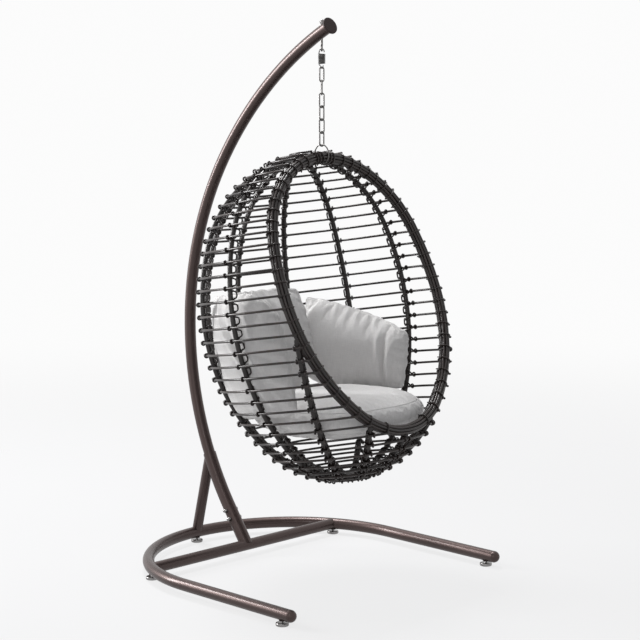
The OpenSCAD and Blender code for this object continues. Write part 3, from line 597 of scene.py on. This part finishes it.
def rimCurve():
    # centre line, in-plane outward normal and plane normal, once round
    low, top, lowTurn, topTurn = outlineShape(basket["rim"])
    h, w, m, rb, rt = basket["rim"]
    upLength = top * topTurn + rt * (math.pi / 2 - topTurn)
    downLength = low * lowTurn + rb * (math.pi / 2 - lowTurn)
    total = upLength + downLength
    length = np.linspace(-downLength, upLength, int(total / rimLook["step"]))
    normal = normalAt(basket["rim"], length)
    x, z = outlineAt(basket["rim"], normal)
    half = np.stack([x, z, np.cos(normal), np.sin(normal)], axis=1)
    other = half[::-1][1:-1] * np.array([-1, 1, -1, 1])
    return np.concatenate([half, other])


def fromRimPlane(x, z, off):
    # the plane leans back: its z axis is (0, sin, cos) and its normal (0, -cos, sin)
    s, c = math.sin(lean), math.cos(lean)
    x, z, off = np.broadcast_arrays(x, z, off)
    return np.stack([x, -basket["rimFront"] + z * s - off * c,
                     basket["rimUp"] + z * c + off * s], axis=-1)


def makeRim():
    rand = np.random.RandomState(rimLook["seed"])
    curve = rimCurve()
    x, z, nx, nz = curve.T
    count = len(x)
    a = np.arange(count) / count * 2 * math.pi
    outward = turned(fromRimPlane(nx, nz, 0.0) - fromRimPlane(0.0, 0.0, 0.0))
    parts = [tube(toWorld(fromRimPlane(x, z, 0.0)), outward, rimLook["coreR"], 12, True)]
    reach = basket["bundleR"] - rimLook["caneR"]
    for k in range(rimLook["canes"]):
        phase = rand.uniform(0, 2 * math.pi, 3)
        spin = 2 * math.pi * k / rimLook["canes"] + 0.035 * np.sin(9 * a + phase[0]) \
            + 0.025 * np.sin(23 * a + phase[1])
        out = reach + rimLook["sway"] * np.sin(31 * a + phase[2]) * 0.5
        flat = out * np.cos(spin)
        spot = fromRimPlane(x + nx * flat, z + nz * flat, out * np.sin(spin))
        parts.append(tube(toWorld(spot), outward, rimLook["caneR"], 9, True))
    addPiece("rim_canes", parts, cane, "basket", ["rim"])


def rimTie(normal, side, rand):
    # one turn of cane round the bundle, square to it, whose two ends cross and stand up as a
    # small hook on the inner side: past a full turn the radius grows and the turn steps along
    x, z = (float(value) for value in outlineAt(basket["rim"], normal))
    start = math.pi + rand.uniform(-0.25, 0.35)
    a = np.linspace(-0.12, 2 * math.pi + 0.5, rimLook["tieSteps"])
    past = np.maximum(0, a - 2 * math.pi)
    out = basket["bundleR"] + rimLook["tieR"] - 0.7 + rimLook["hook"] * past * 2 ** 0.5
    slant = 2.0 * np.sin(a + rand.uniform(0, 6)) + 0.9 * rimLook["tieR"] * (a / math.pi - 1)
    spin = a + start - 0.5 * past
    dx, dz = np.cos(normal) * out * np.cos(spin), np.sin(normal) * out * np.cos(spin)
    px, pz = x + dx - np.sin(normal) * slant, z + dz + np.cos(normal) * slant
    points = fromRimPlane(px, pz, out * np.sin(spin))
    middle = fromRimPlane(x, z, 0.0) + 0.0 * points
    points[:, 0] *= side
    middle[:, 0] *= side
    points, radius = roundEnds(points, rimLook["tieR"], 2)
    middle = np.concatenate([middle[:2], middle, middle[:2]])
    return tube(toWorld(points), turned(points - middle), radius, rimLook["tieSides"])


def tieNormal(j):
    # where the rim's outline passes the end of rung j
    normal, mouth = rungEnds(j)
    across, up = outlineAt(basket["egg"], normal, basket["rimInset"])
    along = (float(up) - basket["rimUp"]) / math.cos(lean)
    ask = np.linspace(-math.pi / 2, math.pi / 2, 721)
    _, height = outlineAt(basket["rim"], ask)
    return float(np.interp(along, height, ask))


def makeTies():
    rand = np.random.RandomState(rimLook["seed"] + 1)
    parts = []
    for j in range(basket["first"], basket["last"] + 1):
        if rungEnds(j)[1]:
            parts += [rimTie(tieNormal(j), side, rand) for side in (1, -1)]
    for across in rimLook["extra"]:
        normal = math.acos(abs(across) / basket["rim"][4])
        parts.append(rimTie(normal, 1 if across > 0 else -1, rand))
    addPiece("rim_ties", parts, cane, "basket", ["rim_bindings"])


makeRim()
makeTies()
print("rim made")

# ribs: a thick cane lashed to every rung by a thin one, which rings the rung beside the rib,
# crosses the rib's inner face and bulges inwards in a loop before the next rung
ribLook = dict(coreR=8.8, bindR=2.8, sides=7, steps=5, snug=11.4, front=75, beside=11.4, wide=22.0,
               wideRibs=(3,), tightRibs=(2, 3, 4, 5), tight=0.30, seed=5)


def ribShape(turn):
    # a rib's own oval, a little smaller than the basket's, and the lean of its plane
    oval = np.array(basket["egg"], float) - np.array(basket["ribLess"]) * math.sin(turn) ** 2
    hub = basket["hubBack"] * math.sin(turn)
    return oval, math.asin(hub / (basket["egg"][0] - basket["ribInset"]))


def ribFrame(turn, length, inset=None):
    # centre line, outward normal and sideways direction at those lengths
    oval, tip = ribShape(turn)
    normal = normalAt(oval, length)
    across, up = outlineAt(oval, normal, basket["ribInset"] if inset is None else inset)
    radial = np.array([math.sin(turn), -math.cos(turn), 0.0])
    sideways = np.array([math.cos(turn), math.sin(turn), 0.0])
    upright = sideways * math.sin(tip) + np.array([0, 0, math.cos(tip)])
    across, up, c, s = (value[:, None] for value in (across, up, np.cos(normal), np.sin(normal)))
    outward = radial * c + upright * s
    return radial * across + upright * up, outward, np.cross(upright, radial) + 0.0 * outward


def rimGap(x, z):
    # distance of points from the rim's oval in its plane
    low, top, lowTurn, topTurn = outlineShape(basket["rim"])
    h, w, m, rb, rt = basket["rim"]
    pick = [np.arctan2(z - h + rt, x) > topTurn, z > m, np.arctan2(z - rb, x) < -lowTurn]
    return np.select(pick, [np.hypot(x, z - h + rt) - rt, np.hypot(x - w + top, z - m) - top,
                            np.hypot(x, z - rb) - rb], np.hypot(x - w + low, z - m) - low)


def ribRange(turn):
    # lengths from the belly between which a rib runs: hub to hub, or hub to rim in front
    oval, _ = ribShape(turn)
    h, w, m, rb, rt = oval
    low, top, lowTurn, topTurn = outlineShape(oval)
    lowest = -(low * lowTurn + rb * (math.acos(basket["hubR"] / rb) - lowTurn))
    reach = (basket["hubR"] - basket["hubBack"] * math.cos(turn)) / (rt - basket["ribInset"])
    highest = top * topTurn + rt * (math.acos(reach) - topTurn)
    if abs(turn) < math.radians(ribLook["front"]):
        length = np.linspace(lowest, 200, 4000)
        x, y, z = ribFrame(turn, length)[0].T
        back, rise = basket["rimFront"] + y, z - basket["rimUp"]
        off = back * math.cos(lean) - rise * math.sin(lean)
        flat = back * math.sin(lean) + rise * math.cos(lean)
        gap = np.hypot(rimGap(np.abs(x), flat), off)
        highest = float(length[np.argmax(gap < basket["bundleR"] - 1)])
    return lowest, highest


def rungCrossings(turn, lowest, highest):
    # lengths along a rib at which it passes under each rung
    j = np.arange(basket["first"], basket["last"] + 1)
    normal = normalAt(basket["egg"], basket["shift"] + j * basket["pitch"])
    _, height = outlineAt(basket["egg"], normal)
    length = np.linspace(-760, 760, 3001)
    found = np.interp(height, ribFrame(turn, length, 0.0)[0][:, 2], length)
    return found[(found > lowest + 6) & (found < highest - 6)]


def lashingTurn(beside):
    # the way past one rung: share of the way to the next, mm past the rung, sideways, outward;
    # the ring round the rung stands beside the rib, and the further off it is the more it fans
    fan = 1 + (beside - ribLook["beside"]) * 0.8
    return np.array([
        (0.0, -9.5, 10.8, 1.0), (0.0, -6.0 - fan, 5.5, -9.6), (0.0, -fan, -6.5, -9.0),
        (0.0, -0.4 * fan, -beside + 2.0, -1.5), (0.0, 4.8, -beside, 6.6), (0.0, 6.3, -beside, 12.0),
        (0.0, 2.5, 0.4 - beside, 17.8), (0.0, -3.5, 0.6 - beside, 17.4),
        (0.0, -6.5, 0.6 - beside, 11.6), (0.0, -3.6, 0.8 - beside, 4.8),
        (0.0, fan, -9.2, -5.4), (0.0, 4.0 + fan, 3.0, -10.8),
        (0.0, 9.0, 10.6, -3.6), (0.10, 6.0, 13.0, -9.0), (0.27, 2.0, 15.0, -13.0),
        (0.5, 0.0, 15.4, -14.0), (0.73, -2.0, 15.0, -13.0), (0.90, -6.0, 13.0, -7.0)])


def ribLashing(turn, crossings, hand, loose, beside, rand):
    share, past, sideways, outward = lashingTurn(beside).T
    gap = np.append(np.diff(crossings), crossings[-1] - crossings[-2])
    length = crossings[:, None] + share * gap[:, None] + past
    # low on the basket the loops lie close to the rib
    spread = np.clip((crossings[:, None] + 330) / 160, 0, 1) * loose
    spread = spread * (1 + 0.10 * rand.uniform(-1, 1, len(crossings))[:, None])
    far = np.hypot(sideways, outward)
    scale = np.where(share > 0, (ribLook["snug"] + (far - ribLook["snug"]) * spread) / far, 1.0)
    shake = 0.35 * rand.uniform(-1, 1, (2, *scale.shape))
    swing, outward = sideways * scale + shake[0], outward * scale + shake[1]
    count = swing.size - 5
    way = smoothPath(np.stack([length.ravel()[:count], swing.ravel()[:count],
                               outward.ravel()[:count]], axis=1), ribLook["steps"])
    centre, normal, across = ribFrame(turn, way[:, 0])
    points = centre + across * (hand * way[:, 1:2]) + normal * way[:, 2:3]
    points, radius = roundEnds(points, ribLook["bindR"], 2)
    return tube(toWorld(points), turned([0.3, 0.2, 1.0]), radius, ribLook["sides"])


def makeRib(i):
    rand = np.random.RandomState(ribLook["seed"] + i)
    turn = ribTurns[i]
    lowest, highest = ribRange(turn)
    length = np.linspace(lowest, highest, int((highest - lowest) / 9))
    centre, outward, _ = ribFrame(turn, length)
    centre, radius = roundEnds(centre, ribLook["coreR"])
    side = np.concatenate([outward[:1]] * 4 + [outward] + [outward[-1:]] * 4)
    parts = [tube(toWorld(centre), turned(side), radius, 12)]
    atFront = abs(turn) < math.radians(ribLook["front"])
    crossings = rungCrossings(turn, lowest, highest)
    beside = ribLook["wide"] if i in ribLook["wideRibs"] else ribLook["beside"]
    loose = 0.0 if atFront else ribLook["tight"] if i in ribLook["tightRibs"] else 1.0
    parts += [ribLashing(turn, crossings, hand, loose, beside, rand)
              for hand in ((1, -1) if atFront else (1,))]
    name = "rib_%02d" % (i + 1)
    addPiece(name + "_wound", parts, cane, "basket", [name])


for i in range(basket["ribs"]):
    makeRib(i)
print("ribs made")

# hubs: two layers of a flat coil of cane where the ribs' ends meet
hubLook = dict(caneR=4.4, turns=4.6, inner=5.5, layer=4.0, edge=5.0)


def makeHub(name, centre, across, ahead):
    # spiral r = inner + (outer - inner) a / whole turn, laid in the plane of two directions
    a = np.linspace(0, hubLook["turns"] * 2 * math.pi, 260)[:, None]
    r = hubLook["inner"] + (basket["hubR"] - hubLook["edge"] - hubLook["inner"]) * a / a[-1]
    up = np.cross(across, ahead)
    parts = []
    for level in (-hubLook["layer"], hubLook["layer"]):
        points = centre + across * np.cos(a) * r + ahead * np.sin(a) * r + up * level
        points, radius = roundEnds(points, hubLook["caneR"])
        parts.append(tube(toWorld(points), turned(up), radius, 8))
    addPiece(name + "_coil", parts, cane, "basket", [name])


def makeHubs():
    egg = basket["egg"]
    _, low = outlineAt(egg, -math.acos(basket["hubR"] / egg[3]), basket["ribInset"])
    right, ahead = np.array([1.0, 0, 0]), np.array([0, 1.0, 0])
    makeHub("bottom_hub", np.array([0, 0, float(low)]), right, ahead)
    crownR = egg[4] - basket["ribInset"]
    tip = math.asin(basket["hubBack"] / crownR)
    up = np.array([0, math.sin(tip), math.cos(tip)])
    centre = np.array([0, 0, egg[0] - egg[4]]) + up * math.sqrt(crownR ** 2 - basket["hubR"] ** 2)
    makeHub("top_hub", centre, right, np.array([0, math.cos(tip), -math.sin(tip)]))


makeHubs()
print("hubs made")


# ---- cushions: a crowned form, swollen as cloth, with its seam laid on after
padLook = dict(voxel=0.0055, pressure=4.0, frames=20, cap=11.0, slack=-0.035, hold=7.0, welt=1.5)


def padWorld(size):
    # a cushion leans and rolls in its own plane, moves out, and turns round the basket's axis
    local = (Matrix.Rotation(math.radians(size["turn"]), 4, "Z")
             @ Matrix.Translation((0, -size["out"], size["up"]))
             @ Matrix.Rotation(math.radians(size["tilt"]), 4, "X")
             @ Matrix.Rotation(math.radians(size["roll"]), 4, "Y"))
    return placeBasket @ np.array(local)


def discGrid(rings, sectors):
    # share of the way from the middle to the edge and back, and the way round
    share = np.sin(np.linspace(0, math.pi / 2, rings))
    share = np.concatenate([share, share[::-1]])
    side = np.repeat([1.0, -1.0], rings)
    way = np.linspace(0, 2 * math.pi, sectors, endpoint=False)
    return share[:, None], side[:, None], way[None, :]


def skin(verts, faces):
    # the form's surface in even squares
    mesh = bpy.data.meshes.new("form")
    mesh.from_pydata((verts / 1000).tolist(), [], faces)
    obj = bpy.data.objects.new("form", mesh)
    bpy.context.scene.collection.objects.link(obj)
    squares = obj.modifiers.new("squares", "REMESH")
    squares.mode = "VOXEL"
    squares.voxel_size = padLook["voxel"]
    graph = bpy.context.evaluated_depsgraph_get()
    made = bpy.data.meshes.new_from_object(obj.evaluated_get(graph))
    bpy.data.objects.remove(obj)
    return made


def meshPoints(mesh):
    points = np.empty(len(mesh.vertices) * 3)
    mesh.vertices.foreach_get("co", points)
    return points.reshape(-1, 3) * 1000


def nearest(points, others):
    # index of and distance to the closest of the others, a block of points at a time
    found = [np.linalg.norm(block[:, None] - others[None], axis=2)
             for block in np.array_split(points, max(1, len(points) // 400))]
    return (np.concatenate([gap.argmin(axis=1) for gap in found]),
            np.concatenate([gap.min(axis=1) for gap in found]))


def swell(obj, seam):
    # cloth blown up from inside with its seams held; no point moves further than the cap
    rest = meshPoints(obj.data)
    held = obj.vertex_groups.new(name="held")
    gap = nearest(rest, seam)[1]
    held.add(np.flatnonzero(gap < padLook["hold"]).tolist(), 1.0, "REPLACE")
    cloth = obj.modifiers.new("swell", "CLOTH")
    settings = cloth.settings
    settings.quality = 6
    settings.mass = 0.25
    settings.tension_stiffness = settings.compression_stiffness = 14
    settings.shear_stiffness = 5
    settings.bending_stiffness = 0.35
    settings.use_pressure = True
    settings.uniform_pressure_force = padLook["pressure"]
    settings.shrink_min = padLook["slack"]
    settings.vertex_group_mass = "held"
    settings.effector_weights.gravity = 0
    cloth.collision_settings.use_collision = False
    cloth.point_cache.frame_start, cloth.point_cache.frame_end = 1, padLook["frames"]
    scene = bpy.context.scene
    for step in range(1, padLook["frames"] + 1):
        scene.frame_set(step)
    blown = obj.evaluated_get(bpy.context.evaluated_depsgraph_get()).to_mesh()
    move = meshPoints(blown) - rest
    obj.modifiers.remove(cloth)
    obj.vertex_groups.clear()
    scene.frame_set(1)
    far = np.linalg.norm(move, axis=1, keepdims=True) + 1e-9
    moved = rest + move / far * padLook["cap"] * np.tanh(far / padLook["cap"])
    return rest, moved


def follow(line, rest, moved):
    # carries a closed line with the cloth beside it, its shift averaged over a few neighbours
    shift = (moved - rest)[nearest(line, rest)[0]]
    shift = sum(np.roll(shift, k, axis=0) for k in range(-3, 4)) / 7
    return line + shift


def makePad(name, form, faces, layOf, seams):
    # form and seams in world millimetres; layOf gives the cloth's own coordinates of a point
    mesh = skin(form, faces)
    body = bpy.data.objects.new(name, mesh)
    bpy.context.scene.collection.objects.link(body)
    rest, moved = swell(body, np.concatenate([line for line, _ in seams]))
    quads = np.empty(len(mesh.loops), int)
    mesh.loops.foreach_get("vertex_index", quads)
    starts = np.empty(len(mesh.polygons), int)
    mesh.polygons.foreach_get("loop_start", starts)
    cover = [part.tolist() for part in np.split(quads, starts[1:])]
    bpy.data.objects.remove(body)
    parts = [(moved, cover, layOf(rest))]
    for line, radius in seams:
        line = follow(line, rest, moved)
        parts.append(tube(line, line - line.mean(axis=0), radius, 6, True))
    obj = addPiece(name + "_cover", parts, linen, "basket", [name])
    smooth = obj.modifiers.new("smooth", "SUBSURF")
    smooth.levels = smooth.render_levels = 1
    print(name, "made")


# slump: how far the upper edge sinks, and towards which side: 1 is the cushion's own right, -1
# its left. corners: how far each is drawn in, at (u, v) = (-1, -1), (1, -1), (-1, 1), (1, 1).
# reach: more width on the left and the right. bend: radius of the left and the right half.
# push: outwards at the upper right. down: more length below. A fold runs from (u, v) to
# (u, v), with a width in u and a depth in mm; a depth less than 0 is a ridge.
pillows = {
    "pillow_left": dict(w=425, h=392, t=106, turn=-108, out=356, up=494, tilt=6, roll=0,
                        slump=(0, 1), corners=(0.12, 0.04, 0.03, 0.2), reach=(8, 0),
                        bend=(430, 430), push=0, down=40, seed=1, fill=0.55, scallops=15, folds=(
                            (-0.40, 1.0, 0.72, -1.0, 0.045, -9), (-0.26, 1.0, 0.86, -1.0, 0.06, 8),
                            (-0.70, 0.7, -0.15, -0.9, 0.07, 6), (-0.62, 0.95, -0.80, 0.55, 0.05, 5),
                            (0.15, 0.9, 0.55, 0.1, 0.08, 6))),
    "pillow_back": dict(w=384, h=384, t=106, turn=177, out=363, up=502, tilt=7, roll=0,
                        slump=(0, -1), corners=(0.2, 0.2, 0.10, 0.2), reach=(18, 0),
                        bend=(285, 430), push=0, down=0, seed=2, fill=0.6, scallops=14, folds=(
                            (-0.2, 0.95, -0.3, 0.2, 0.08, 6), (0.45, 0.95, 0.25, 0.1, 0.08, 8),
                            (0.75, 0.4, 0.5, -0.4, 0.07, 5))),
    "pillow_right": dict(w=378, h=330, t=108, turn=114, out=326, up=468, tilt=8, roll=-8,
                         slump=(0.66, -1), corners=(0.04, 0.2, 0.16, 0.07), reach=(6, 40),
                         bend=(520, 1400), push=26, down=12, seed=3, fill=0.55, scallops=15,
                         folds=(
                             (-0.66, 0.35, -0.62, -0.95, 0.050, 11),
                             (-0.50, 0.40, -0.56, -0.55, 0.050, -7),
                             (-0.84, 0.10, -0.70, -0.95, 0.050, -9),
                             (0.10, 0.95, 0.05, 0.45, 0.045, 4),
                             (-0.30, 0.95, -0.35, 0.50, 0.045, 5),
                             (0.50, 0.95, 0.42, 0.50, 0.045, 4))),
}
pillowShape = dict(edge=6.0, power=0.45, rings=44, sectors=200, scallop=5.0)


def foldDepth(u, v, folds):
    # each fold: depth e^-(gap/width)^2, where gap is the distance from its line, with soft ends
    depth = 0.0 * u
    for u0, v0, u1, v1, width, deep in folds:
        run = np.array([u1 - u0, v1 - v0])
        t = np.clip(((u - u0) * run[0] + (v - v0) * run[1]) / (run @ run), 0, 1)
        bow = 0.05 * np.sin(math.pi * t)
        gap = np.hypot(u - u0 - run[0] * t - bow, v - v0 - run[1] * t)
        rim = 0.45 * np.exp(-((gap - 2 * width) / width) ** 2)
        depth = depth + deep * (np.exp(-(gap / width) ** 2) - rim) * np.sin(math.pi * t) ** 0.6
    return depth


def pillowPoint(share, side, way, size):
    # crown ((1-u^2)(1-v^2))^p over a square with drawn-in corners and a scalloped edge, bent round
    shape = pillowShape
    rand = np.random.RandomState(size["seed"])
    reach = 1 / np.maximum(np.abs(np.cos(way)), np.abs(np.sin(way)))
    u, v = share * np.cos(way) * reach, share * np.sin(way) * reach
    beat = size["scallops"] * way + 0.8 * np.sin(3 * way + rand.uniform(0, 6))
    bay = 1 - np.abs(np.sin(beat))
    inward = 1 - shape["scallop"] * bay * share ** 6 / (0.5 * min(size["w"], size["h"]))
    low = size["corners"][0] * (1 - u) / 2 + size["corners"][1] * (1 + u) / 2
    high = size["corners"][2] * (1 - u) / 2 + size["corners"][3] * (1 + u) / 2
    drawn = low * (1 - v) / 2 + high * (1 + v) / 2
    wide = size["w"] / 2 + np.where(u < 0, size["reach"][0], size["reach"][1])
    x = wide * u * (1 - drawn * v ** 4) * inward
    drop, toward = size["slump"]
    sunk = np.where(v > 0, 1 - drop * (1 + toward * u) / 2, 1)
    tall = size["h"] / 2 * v * sunk - size["down"] * np.maximum(0, -v) ** 2
    z = tall * (1 - drawn * u ** 4) * inward
    crown = np.maximum(0, (1 - u * u) * (1 - v * v)) ** shape["power"]
    thin = (1 - 0.20 * np.maximum(0, v)) * (1 - size["push"] / 70 * np.maximum(0, u))
    y = side * (shape["edge"] / 2 + (size["t"] - shape["edge"]) / 2 * crown * thin)
    gather = 3.2 * bay * np.exp(-((1 - share) / 0.16) ** 2) * (1 - share ** 24)
    y = y - side * gather - side * foldDepth(u, v, size["folds"]) * np.minimum(1, crown * 2)
    bend = np.where(x < 0, size["bend"][0], size["bend"][1])
    r = bend - y
    push = size["push"] * np.maximum(0, u) ** 2 * (0.7 + 0.3 * v)
    return np.stack([r * np.sin(x / bend), bend - r * np.cos(x / bend) - push, z + 0 * r], axis=-1)


def pillowLay(points, size, place):
    # unbends points into the cloth's own width, height and depth
    local = (points - place[:3, 3]) @ place[:3, :3]
    bend = np.where(local[:, 0] < 0, size["bend"][0], size["bend"][1])
    x, y = local[:, 0], bend - local[:, 1]
    return np.stack([np.arctan2(x, y) * bend, local[:, 2], bend - np.hypot(x, y)], axis=1)


def makePillow(name):
    size = pillows[name]
    place = padWorld(size)
    share, side, way = discGrid(pillowShape["rings"], pillowShape["sectors"])
    verts, faces = grid(pillowPoint(share, side, way, size), True)
    line = pillowPoint(np.ones((1, 1)), np.zeros((1, 1)), way, size)[0]
    makePad(name, toWorld(verts, place), faces, lambda points: pillowLay(points, size, place),
            [(toWorld(line, place), padLook["welt"])])


# seat cushion: a round pad with full edges, flatter in front, piped round top and bottom
seat = dict(d=605, t=116, up=242, shift=3, tip=8, flat=54, flatPower=4, edgePower=0.42,
            crownPower=0.80, rings=60, sectors=220, pipe=2.0, pipeTurn=34, fill=0.8, seed=8)


def seatPoint(turn, way):
    # r = R cos^p, z = t/2 sin^q over turn from -90 to 90 degrees, with slow waves in its faces
    rand = np.random.RandomState(seat["seed"])
    radius = seat["d"] / 2 - seat["flat"] * np.maximum(0, -np.sin(way)) ** seat["flatPower"]
    c, s = np.maximum(0, np.cos(turn)), np.sin(turn)
    r = radius * c ** seat["edgePower"]
    wave = sum(np.sin(k * way + rand.uniform(0, 6)) * 1.1 for k in (2, 3, 5, 8))
    gather = sum(np.sin(k * way + rand.uniform(0, 6)) * 0.35 for k in (23, 31, 44))
    z = seat["t"] / 2 * np.sign(s) * np.abs(s) ** seat["crownPower"] \
        + np.sign(s) * (wave * c * np.abs(s) + gather * np.abs(s) * c ** 0.5)
    return np.stack(np.broadcast_arrays(r * np.cos(way), r * np.sin(way), z), axis=-1)


def makeSeat():
    place = placeBasket @ np.array(Matrix.Translation((0, seat["shift"], seat["up"]))
                                   @ Matrix.Rotation(math.radians(seat["tip"]), 4, "X"))
    way = np.linspace(0, 2 * math.pi, seat["sectors"], endpoint=False)[None, :]
    turn = np.linspace(math.pi / 2, -math.pi / 2, seat["rings"])[:, None]
    verts, faces = grid(seatPoint(turn, way), True)
    lines = [toWorld(seatPoint(np.full((1, 1), math.radians(a)), way)[0], place)
             for a in (seat["pipeTurn"], -seat["pipeTurn"])]
    makePad("seat_cushion", toWorld(verts, place), faces,
            lambda points: (points - place[:3, 3]) @ place[:3, :3],
            [(line, seat["pipe"]) for line in lines])


for name in pillows:
    makePillow(name)
makeSeat()
